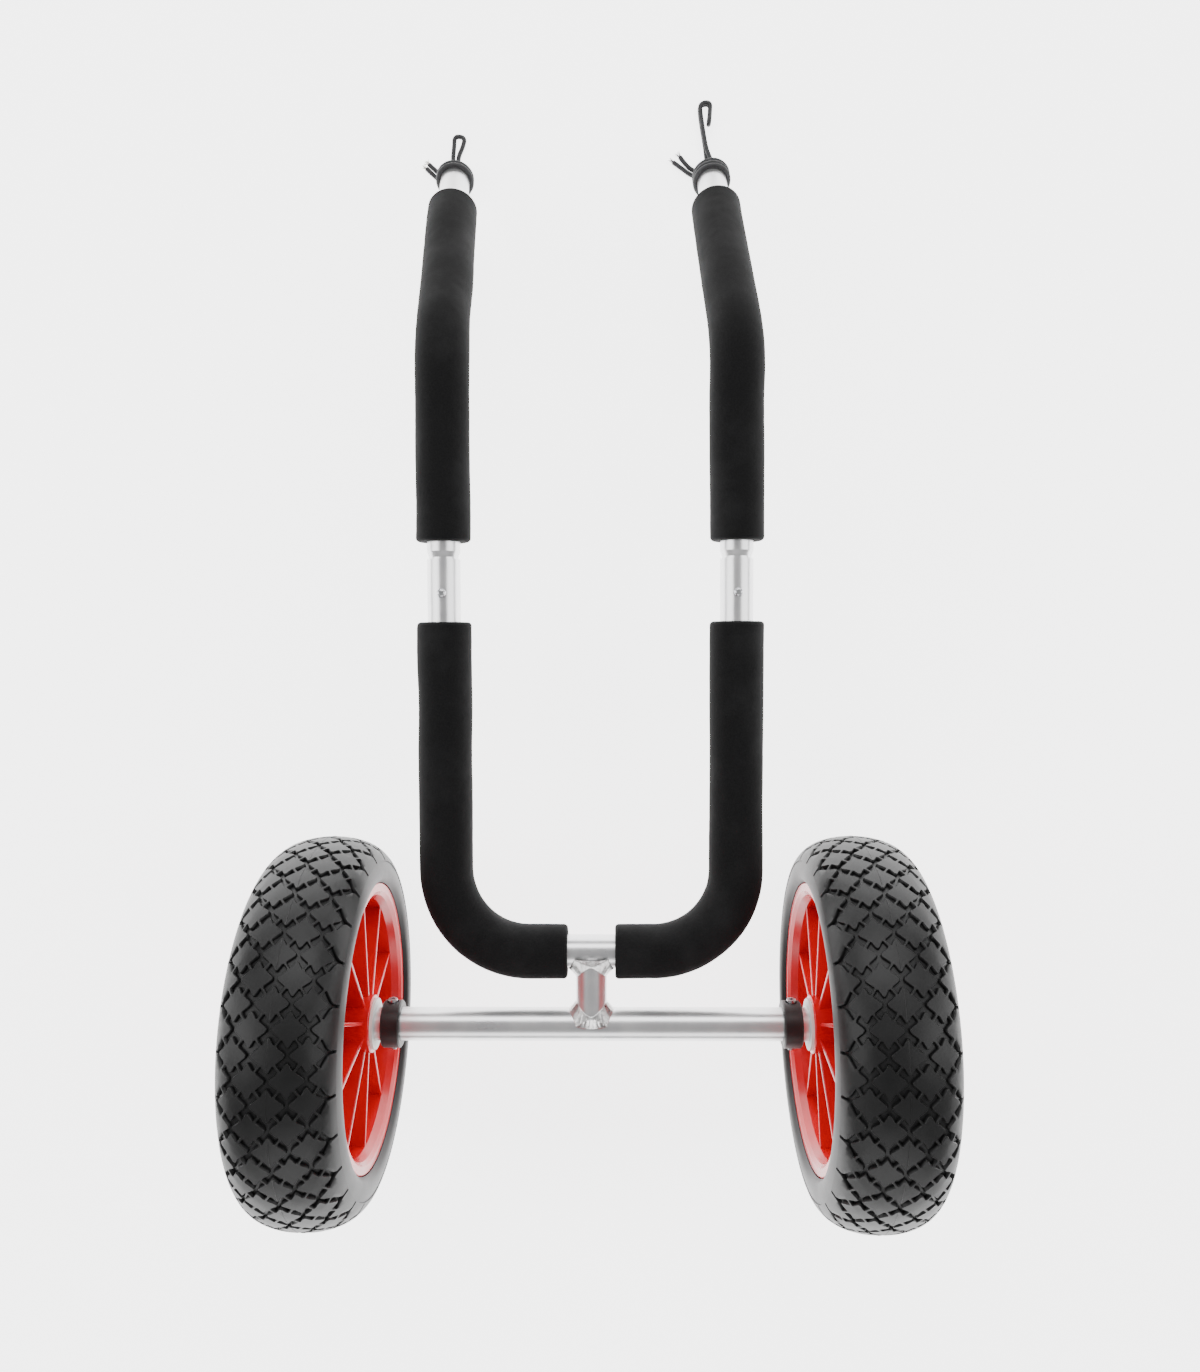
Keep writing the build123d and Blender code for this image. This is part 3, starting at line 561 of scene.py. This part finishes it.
def make_wraps():
    """The turns of cord drawn tight round each arm's tip, as one winding per side."""
    wrap_radius = TUBE_RADIUS + 0.1 * MM + CORD_RADIUS
    first = 3.5 * MM
    pitch = 2 * CORD_RADIUS + 0.1 * MM
    for side_name, side in SIDES.items():
        turns = {"left": 2, "right": 3}[side_name]
        across = Vector((cos(ARM_LEAN), 0, -sin(ARM_LEAN)))
        up = across.cross(DROP)
        points, faces = [], []
        for turn in range(turns):
            centre = tip_face(side) - DROP * (first + pitch * turn)
            ring = []
            for angle in np.linspace(0, tau, 161):
                lean = 0.35 * MM * sin(angle + turn)
                ring.append(tuple(centre + (across * cos(angle) + up * sin(angle)) * wrap_radius
                                  + DROP * lean))
            piece = braided_tube("turn", ring, CORD_RADIUS, closed=True)
            start = len(points)
            points += [tuple(v.co) for v in piece.data.vertices]
            faces += [tuple(start + i for i in polygon.vertices) for polygon in piece.data.polygons]
            bpy.data.objects.remove(piece)
        winding = new_piece(f"shock_cord_wrap_{side_name}", points, faces, 60)
        settle(winding, f"arm_{side_name}", BRAID, [f"cord_wrap_{side_name}"])


# ---------------------------------------------------------------- tyres

PITCHES = 28
COLUMN = 13.0 * MM
PIT_DEPTH = 2.6 * MM
PIT_EDGE = 0.35 * MM
PIT_DRAFT = 0.45 * MM
LUG_END = 48.0 * MM
STEP_DOWN = 0.7 * MM
SHOULDER_SLOT = 1.1 * MM
CELL_EDGE_PARTS = 5
SIDEWALL_RINGS = 14
# Outline of half a tyre's section, as (sideways, below the crown) in millimetres, down to the rim's lip.
TYRE_OUTLINE = [(0, 0), (9, 0.5), (17, 1.9), (25, 4.4), (31.5, 8.0), (36.6, 12.6), (40.2, 18.4), (42.0, 27.0),
                (41.2, 33.2), (37.6, 36.7)]
TYRE_SEAT = [(34.1, 36.7), (34.1, 42.7), (29.7, 45.2)]


def rounded_line(points, parts):
    """A smooth line through the points, with the given number of parts between neighbours."""
    p = np.asarray(points, float)
    p = np.vstack([2 * p[0] - p[1], p, 2 * p[-1] - p[-2]])
    line = []
    for i in range(1, len(p) - 2):
        for t in np.arange(parts) / parts:
            line.append(0.5 * (2 * p[i] + (p[i + 1] - p[i - 1]) * t
                               + (2 * p[i - 1] - 5 * p[i] + 4 * p[i + 1] - p[i + 2]) * t ** 2
                               + (3 * p[i] - p[i - 1] - 3 * p[i + 1] + p[i + 2]) * t ** 3))
    line.append(p[-2])
    return np.array(line)


class TyreSkin:
    """Places a point given round the tyre, across its tread and below its surface."""

    def __init__(self, centre, radius):
        half = rounded_line(TYRE_OUTLINE, 12) * MM
        self.centre, self.radius = centre, radius
        self.sideways, self.height = half[:, 0], radius - half[:, 1]
        lengths = np.hypot(np.diff(self.sideways), np.diff(self.height))
        self.run = np.concatenate([[0], np.cumsum(lengths)])
        slope = np.gradient(half, self.run, axis=0)
        self.out_x, self.out_r = slope[:, 1], slope[:, 0]

    def place(self, around, across, below):
        """around is in turns; across is signed length along the section; below is depth under the skin."""
        reach = np.abs(across)
        x = np.interp(reach, self.run, self.sideways)
        r = np.interp(reach, self.run, self.height)
        out_x = np.interp(reach, self.run, self.out_x)
        out_r = np.interp(reach, self.run, self.out_r)
        x = (x - out_x * below) * np.sign(across)
        r = r - out_r * below
        angle = around * tau
        return np.stack([self.centre.x + x, self.centre.y + r * np.sin(angle), self.centre.z + r * np.cos(angle)],
                        axis=-1)


def corner_cut(points, cuts, parts):
    """A closed outline whose corners are rounded by the given lengths."""
    line = []
    for number, here in enumerate(points):
        before, after = points[number - 1], points[(number + 1) % len(points)]
        cut, steps = cuts[number], parts[number]
        start = here + (before - here) * (cut / np.linalg.norm(before - here))
        end = here + (after - here) * (cut / np.linalg.norm(after - here))
        for t in np.linspace(0, 1, steps):
            line.append(start * (1 - t) ** 2 + here * 2 * t * (1 - t) + end * t ** 2)
    return np.array(line)


def pushed_out(outline, distance):
    """The closed outline moved outwards, or inwards for a negative distance."""
    before, after = np.roll(outline, 1, axis=0), np.roll(outline, -1, axis=0)
    along = after - before
    along /= np.linalg.norm(along, axis=1)[:, None]
    return outline + np.stack([along[:, 1], -along[:, 0]], axis=1) * distance


def inside(point, outline):
    """Whether a flat point lies in a closed outline."""
    x, y = point
    a, b = outline, np.roll(outline, -1, axis=0)
    crosses = (a[:, 1] > y) != (b[:, 1] > y)
    with np.errstate(divide="ignore", invalid="ignore"):
        at = a[:, 0] + (y - a[:, 1]) / (b[:, 1] - a[:, 1]) * (b[:, 0] - a[:, 0])
    return bool(np.count_nonzero(crosses & (x < at)) % 2)


def filled(outline, hole=None, extra=()):
    """Triangles that fill a closed outline round an optional hole."""
    loops = [outline] if hole is None else [outline, hole]
    points, edges = [], []
    for loop in loops:
        start = len(points)
        points += [Vector(p) for p in loop]
        edges += [(start + i, start + (i + 1) % len(loop)) for i in range(len(loop))]
    points += [Vector(p) for p in extra]
    made, _, faces, *_ = delaunay_2d_cdt(points, edges, [], 0, 1e-9)
    made = np.array([tuple(p) for p in made])
    kept = []
    for face in faces:
        middle_point = made[list(face)].mean(axis=0)
        if inside(middle_point, outline) and (hole is None or not inside(middle_point, hole)):
            a, b, c = made[list(face)[:3]]
            turned = (b[0] - a[0]) * (c[1] - a[1]) - (b[1] - a[1]) * (c[0] - a[0]) < 0
            kept.append(tuple(reversed(face)) if turned else tuple(face))
    return made, kept


def divided(points, parts):
    """A closed outline with each side cut into parts."""
    line = []
    for number, here in enumerate(points):
        after = points[(number + 1) % len(points)]
        line += [here + (after - here) * t for t in np.arange(parts[number]) / parts[number]]
    return np.array(line)


def pitted_cell(border, pit, extra):
    """A piece of tread with one sunk pit: flat points (round, across), depths and faces."""
    rim, wall, floor = pushed_out(pit, PIT_EDGE), pit, pushed_out(pit, -PIT_DRAFT)
    top, top_faces = filled(border, rim, extra)
    base, base_faces = filled(floor)
    count = len(pit)
    flat = [top, rim, wall, floor, base]
    depth = [np.zeros(len(top)), np.zeros(count), np.full(count, PIT_EDGE), np.full(count, PIT_DEPTH),
             np.full(len(base), PIT_DEPTH)]
    starts = np.cumsum([0] + [len(part) for part in flat])
    faces = [tuple(face) for face in top_faces]
    for ring in (1, 2):
        outer, inner = starts[ring], starts[ring + 1]
        faces += [(outer + i, outer + (i + 1) % count, inner + (i + 1) % count, inner + i) for i in range(count)]
    faces += [tuple(starts[4] + i for i in face) for face in base_faces]
    return np.vstack(flat), np.concatenate(depth), faces


def tread_cells(pitch):
    """The two cells that repeat round the tread: the crossed pit, and the shoulder with its slot."""
    half = pitch / 2
    tip_across, tip_round = 0.1 * MM, 3.4 * MM
    arm_low, arm_high = (5.6 * MM, 7.45 * MM), (10.1 * MM, 3.95 * MM)
    quarter = [(tip_round, 0), arm_high, arm_low, (0, tip_across)]
    corners = [quarter[0], quarter[1], quarter[2], quarter[3]]
    corners += [(-u, v) for u, v in (quarter[2], quarter[1], quarter[0])]
    corners += [(u, -v) for u, v in (corners[5], corners[4], quarter[3], quarter[2], quarter[1])]
    corners = np.array(corners)
    cuts = [3.2 * MM, 0.7 * MM, 0.7 * MM, 3.4 * MM, 0.7 * MM, 0.7 * MM] * 2
    parts = [6, 2, 2, 6, 2, 2] * 2
    pit = corner_cut(corners, cuts, parts)
    diamond = np.array([(half, 0), (0, COLUMN), (-half, 0), (0, -COLUMN)])
    border = divided(diamond, [CELL_EDGE_PARTS] * 4)
    extra = [(s * half * 0.78, 0) for s in (-1, 1)] + [(0, s * COLUMN * 0.62) for s in (-1, 1)]
    crossed = pitted_cell(border, pit, [np.array(p) for p in extra])

    low = LUG_END - 3 * COLUMN - STEP_DOWN
    slot = SHOULDER_SLOT
    outline = np.array([(0, -tip_across), (arm_low[0], -arm_low[1]), (arm_high[0], -arm_high[1]),
                        (2.6 * MM, 0.9 * MM), (slot, 3.0 * MM), (slot, low), (-slot, low), (-slot, 3.0 * MM),
                        (-2.6 * MM, 0.9 * MM), (-arm_high[0], -arm_high[1]), (-arm_low[0], -arm_low[1])])
    cuts = [3.4 * MM, 0.7 * MM, 0.7 * MM, 1.0 * MM, 0.8 * MM, 0.6 * MM, 0.6 * MM, 0.8 * MM, 1.0 * MM, 0.7 * MM,
            0.7 * MM]
    slot_pit = corner_cut(outline, cuts, [6, 2, 2, 3, 3, 3, 3, 3, 3, 2, 2])
    far = LUG_END - 3 * COLUMN
    shape = np.array([(-half, 0), (0, -COLUMN), (half, 0), (half, far), (-half, far)])
    border = divided(shape, [CELL_EDGE_PARTS, CELL_EDGE_PARTS, 3, 8, 3])
    extra = [(s * half * k, v) for s in (-1, 1) for k in (0.45, 0.75) for v in (-1.5 * MM, 2.5 * MM, 6.0 * MM)]
    shoulder = pitted_cell(border, slot_pit, [np.array(p) for p in extra])
    return crossed, shoulder


def tyre(side_name):
    """A solid tyre with its tread cut as geometry: crossed pits, shoulder slots and a mould seam."""
    node = f"tyre_{side_name}"
    skin = TyreSkin(middle(node), size(node).z / 2)
    pitch = tau * skin.radius / PITCHES
    crossed, shoulder = tread_cells(pitch)
    points, faces = [], []

    def lay(cell, around, across, mirror):
        flat, depth, cell_faces = cell
        start = sum(len(part) for part in points)
        turns = (around + flat[:, 0]) / (tau * skin.radius)
        points.append(skin.place(turns, across + flat[:, 1] * mirror, depth))
        order = 1 if mirror > 0 else -1
        faces.extend(tuple(start + i for i in face[::order]) for face in cell_faces)

    for number in range(PITCHES):
        here = number * pitch
        for column in range(-2, 3):
            lay(crossed, here + (0 if column % 2 else pitch / 2), column * COLUMN + 1e-9, 1)
        for mirror in (-1, 1):
            lay(shoulder, here, 3 * COLUMN * mirror, mirror)
    count = PITCHES * 8
    turns = (np.arange(count) / 8 - 0.5) / PITCHES
    for mirror in (-1, 1):
        start = sum(len(part) for part in points)
        runs = [LUG_END, LUG_END + 0.05 * MM] + list(np.linspace(LUG_END + 1.5 * MM, skin.run[-1], SIDEWALL_RINGS))
        share = np.clip((np.array(runs) - LUG_END) / (skin.run[-1] - LUG_END), 0, 1)
        below = STEP_DOWN * (1 - share) ** 1.5
        below[0] = 0
        for run, depth in zip(runs, below):
            points.append(skin.place(turns, np.full(count, run * mirror), np.full(count, depth)))
        for sideways, under in TYRE_SEAT:
            r, angle = skin.radius - under * MM, turns * tau
            points.append(np.stack([np.full(count, skin.centre.x + mirror * sideways * MM),
                                    skin.centre.y + r * np.sin(angle), skin.centre.z + r * np.cos(angle)], axis=-1))
        rings = grid_faces(len(runs) + len(TYRE_SEAT), count)
        faces.extend(tuple(start + i for i in face[::-mirror]) for face in rings)
    last = sum(len(part) for part in points)
    per_side = (2 + SIDEWALL_RINGS + len(TYRE_SEAT)) * count
    left_end, right_end = last - per_side - count, last - count
    faces.extend((left_end + i, left_end + (i + 1) % count, right_end + (i + 1) % count, right_end + i)
                 for i in range(count))
    seam = mould_seam(skin, pitch)
    start = sum(len(part) for part in points)
    points.append(seam[0])
    faces.extend(tuple(start + i for i in face) for face in seam[1])
    merged, merged_faces = weld(np.vstack(points), faces, 4e-6)
    piece = new_piece(f"treaded_tyre_{side_name}", merged, merged_faces, 38)
    settle(piece, f"wheel_{side_name}", TYRE, [node])


def mould_seam(skin, pitch):
    """A thin raised line along the middle of each centre block."""
    points, faces = [], []
    half_width, height, reach, parts = 0.28 * MM, 0.22 * MM, 10.5 * MM, 7
    for number in range(PITCHES):
        start = len(points) * 3
        places = number * pitch + np.linspace(-reach, reach, parts)
        turns = places / (tau * skin.radius)
        lift = np.where(np.abs(np.linspace(-1, 1, parts)) > 0.99, 0, height)
        for across, below in ((-half_width, np.full(parts, 0.05 * MM)), (1e-9, -lift),
                              (half_width, np.full(parts, 0.05 * MM))):
            points.append(skin.place(turns, np.full(parts, across), below))
        first = (len(points) - 3) * parts
        for row in range(2):
            faces += [(first + row * parts + i, first + row * parts + i + 1, first + (row + 1) * parts + i + 1,
                       first + (row + 1) * parts + i) for i in range(parts - 1)]
        faces += [(first + i, first + 2 * parts + i, first + 2 * parts + i + 1, first + i + 1)
                  for i in range(parts - 1)]
    return np.vstack(points), faces


# ---------------------------------------------------------------- foam sleeves

FOAM_AROUND = 72
FOAM_STEP = 2.5 * MM
FOAM_BORE_GAP = 0.15 * MM
FOAM_END_ROUND = 3.0 * MM
FOAM_WAVER = 0.28 * MM
FOAM_GRAIN = 0.05 * MM


def tube_line(start, corner, end, radius, step=1.0 * MM):
    """A straight, a bend of the given radius and a straight, as close points."""
    start, corner, end = Vector(start), Vector(corner), Vector(end)
    back, ahead = (start - corner).normalized(), (end - corner).normalized()
    half = back.angle(ahead) / 2
    cut = radius / np.tan(half)
    hub = corner + (back + ahead).normalized() * (radius / sin(half))
    first, last = corner + back * cut, corner + ahead * cut
    arm, other = first - hub, last - hub
    sweep = arm.angle(other)
    axis = arm.cross(other).normalized()
    line = [start]
    for t in np.linspace(0, 1, max(3, ceil(radius * sweep / step))):
        line.append(hub + Matrix.Rotation(sweep * t, 3, axis) @ arm)
    line.append(end)
    return [tuple(p) for p in line]


def foam_sleeve(name, line, body, node, seed):
    """A foam tube: rounded ends, slightly wavy and grainy sides, and a bore just over the tube."""
    path, places = resampled(line, FOAM_STEP)
    total = places[-1]
    inset = FOAM_END_ROUND * (1 - np.cos(np.linspace(0, pi / 2, 6)))[1:]
    extra = np.concatenate([inset, total - inset])
    places = np.unique(np.concatenate([places, extra]))
    source, source_places = resampled(line, FOAM_STEP / 4)
    path = np.stack([np.interp(places, source_places, source[:, k]) for k in range(3)], axis=1)
    _, first, second = frames_along(path)
    angles = np.arange(FOAM_AROUND) / FOAM_AROUND * tau
    waver = smooth_noise((len(places), FOAM_AROUND), (int(total / 0.035), 4), seed) * FOAM_WAVER
    grain = smooth_noise((len(places), FOAM_AROUND), (int(total / 0.004), 30), seed + 50) * FOAM_GRAIN
    from_end = np.minimum(places, total - places)
    near = np.clip(1 - from_end / FOAM_END_ROUND, 0, 1)
    inward = FOAM_END_ROUND * (1 - np.sqrt(1 - near ** 2))
    outer = FOAM_RADIUS - 0.15 * MM + waver + grain - inward[:, None]
    outer = np.minimum(outer, FOAM_RADIUS + 0.4 * MM)
    bore = TUBE_RADIUS + FOAM_BORE_GAP
    across = first[:, None, :] * np.cos(angles)[None, :, None] + second[:, None, :] * np.sin(angles)[None, :, None]
    outside = path[:, None, :] + across * outer[:, :, None]
    cap_end = [path[-1] + across[-1] * (outer[-1] * (1 - t) + bore * t)[:, None] for t in (0.5, 1.0)]
    cap_start = [path[0] + across[0] * (outer[0] * (1 - t) + bore * t)[:, None] for t in (1.0, 0.5)]
    lining = [path[i] + across[i] * bore for i in range(len(path) - 2, 0, -4)]
    ring_stack = np.concatenate([outside, np.stack(cap_end), np.stack(lining), np.stack(cap_start)])
    faces = grid_faces(len(ring_stack), FOAM_AROUND, wrap_rows=True)
    piece = new_piece(name, ring_stack.reshape(-1, 3), faces, 50)
    settle(piece, body, FOAM, [node])


def make_foam():
    for number, (side_name, side) in enumerate(SIDES.items()):
        low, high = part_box(f"lower_foam_{side_name}")
        near_middle = high.x if side < 0 else low.x
        line = tube_line((near_middle, BAR_Y, AXLE.z), (side * ARM_X, BAR_Y, AXLE.z), (side * ARM_X, high.y, AXLE.z),
                         U_BEND_RADIUS)
        foam_sleeve(f"foam_sleeve_lower_{side_name}", line, "root", f"lower_foam_{side_name}", 10 + number)
        low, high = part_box(f"upper_foam_{side_name}")
        end = tip_face(side) - DROP * TIP_BARE
        line = tube_line((side * ARM_X, low.y, AXLE.z), (side * ARM_X, ARM_BEND_Y, AXLE.z), end, ARM_BEND_RADIUS)
        foam_sleeve(f"foam_sleeve_upper_{side_name}", line, f"arm_{side_name}", f"upper_foam_{side_name}", 20 + number)


# ---------------------------------------------------------------- welds

WELD_STATIONS = 300
WELD_ACROSS = 12
WELD_RIPPLES = 26
WELD_RIPPLE_HEIGHT = 0.3 * MM


def weld_bead(name, node, joint_y, way, leg_along, leg_out):
    """A rippled fillet weld where the stem meets a cross tube; way points from the tube to the stem's far end."""
    stem = size("stem_tube").x / 2
    angles = np.arange(WELD_STATIONS) / WELD_STATIONS * tau
    wander = smooth_noise((2, WELD_STATIONS), (1, 9), 31)[0] * 0.35 * MM
    rings = []
    for number, share in enumerate(np.linspace(0, 1, WELD_ACROSS)):
        phase = WELD_RIPPLES * angles + 1.9 * (2 * share - 1) ** 2
        saw = np.mod(phase / tau, 1)
        ripple = (saw ** 0.7 * (1 - saw) ** 0.35 - 0.35) * WELD_RIPPLE_HEIGHT * 1.9 * sin(pi * share)
        bulge = 0.34 * sin(pi * share)
        out = (1 - share) ** 1.25
        up = share ** 1.25
        reach = stem + (leg_out + wander * 0.5) * out * (1 + bulge * 0.3) + ripple * 0.7
        x, z = reach * np.cos(angles), reach * np.sin(angles)
        foot = np.sqrt(np.maximum(TUBE_RADIUS ** 2 - np.minimum(np.abs(z), TUBE_RADIUS * 0.98) ** 2, 0))
        rise = foot + (leg_along + wander) * up * (1 + bulge * 0.3) + ripple * 0.7
        sink = -0.25 * MM if number in (0, WELD_ACROSS - 1) else 0.0
        rise = rise + (sink if number == 0 else 0)
        rings.append(np.stack([AXLE.x + x + (sink * np.cos(angles) if number else 0),
                               joint_y + way * rise, AXLE.z + z + (sink * np.sin(angles) if number else 0)], axis=-1))
    inner = rings[-1].copy()
    inner[:, 0] = AXLE.x + (stem - 0.6 * MM) * np.cos(angles)
    inner[:, 2] = AXLE.z + (stem - 0.6 * MM) * np.sin(angles)
    base = inner.copy()
    low_z = np.abs(base[:, 2] - AXLE.z)
    base[:, 1] = joint_y + way * (np.sqrt(np.maximum(TUBE_RADIUS ** 2 - low_z ** 2, 0)) - 0.6 * MM)
    rings += [inner, base]
    faces = grid_faces(len(rings), WELD_STATIONS, wrap_rows=True)
    if way > 0:
        faces = [face[::-1] for face in faces]
    piece = new_piece(name, np.concatenate(rings), faces, 180)
    settle(piece, "root", WELD, [node])


def make_welds():
    weld_bead("rippled_weld_upper", "upper_weld_bead", BAR_Y, -1, 6.7 * MM, 6.4 * MM)
    weld_bead("rippled_weld_lower", "lower_weld_bead", AXLE.y, 1, 6.4 * MM, 5.6 * MM)


# ---------------------------------------------------------------- camera, floor and light

LENS_PIXELS = 1031.9
LONG_SIDE_PIXELS = 1372
SENSOR = 36.0
CAMERA_FROM_AXLE = Vector((18.0, 303.5, 796.1)) * MM
CAMERA_TILT = (-0.0478, 0.0132, -0.0032)


def make_camera():
    camera = bpy.data.cameras.new("camera")
    camera.sensor_width = SENSOR
    camera.lens = LENS_PIXELS / LONG_SIDE_PIXELS * SENSOR
    camera.clip_start = 0.01
    holder = bpy.data.objects.new("camera", camera)
    holder.location = AXLE + CAMERA_FROM_AXLE
    holder.rotation_euler = Euler(CAMERA_TILT)
    bpy.context.scene.collection.objects.link(holder)
    bpy.context.scene.camera = holder


FLOOR_GLOW = 3.6


def make_floor():
    """A wide pale floor with a hint of grain."""
    half = 6.0
    floor = new_piece("floor", [(-half, -half, 0), (half, -half, 0), (half, half, 0), (-half, half, 0)],
                      [(0, 1, 2, 3)])
    material, nodes, links, shader = new_material("pale_floor", (0.9, 0.9, 0.9), 0.85)
    cloud = noise(nodes, links, coordinates(nodes, links), 3.0, 3.0)
    links.new(ramp(nodes, links, cloud, [(0.3, 0.9), (0.7, 0.93)]), shader.inputs["Base Color"])
    shader.inputs["Emission Color"].default_value = (1, 1, 1, 1)
    shader.inputs["Emission Strength"].default_value = FLOOR_GLOW
    floor.data.materials.append(material)


def area_light(name, place, target, width, height, power):
    light = bpy.data.lights.new(name, "AREA")
    light.shape = "RECTANGLE"
    light.size = width
    light.size_y = height
    light.energy = power
    holder = bpy.data.objects.new(name, light)
    holder.location = place
    holder.rotation_euler = (Vector(target) - Vector(place)).to_track_quat("-Z", "Y").to_euler()
    bpy.context.scene.collection.objects.link(holder)


def make_lights():
    target = (0, -0.05, 0.1)
    area_light("front_softbox", (0, 1.6, 1.5), target, 2.2, 1.0, 34)
    area_light("left_softbox", (-1.9, 0.1, 1.5), target, 1.0, 2.2, 30)
    area_light("right_softbox", (1.9, 0.1, 1.5), target, 1.0, 2.2, 26)
    area_light("back_softbox", (0, -2.0, 1.3), target, 2.2, 0.9, 20)
    world = bpy.data.worlds.new("studio")
    world.use_nodes = True
    world.node_tree.nodes["Background"].inputs["Color"].default_value = (1, 1, 1, 1)
    world.node_tree.nodes["Background"].inputs["Strength"].default_value = 0.35
    bpy.context.scene.world = world


# ---------------------------------------------------------------- build

dress_cad_nodes()
make_camera()
make_floor()
make_lights()
make_cords()
make_wraps()
make_foam()
make_welds()
for side_name in SIDES:
    tyre(side_name)
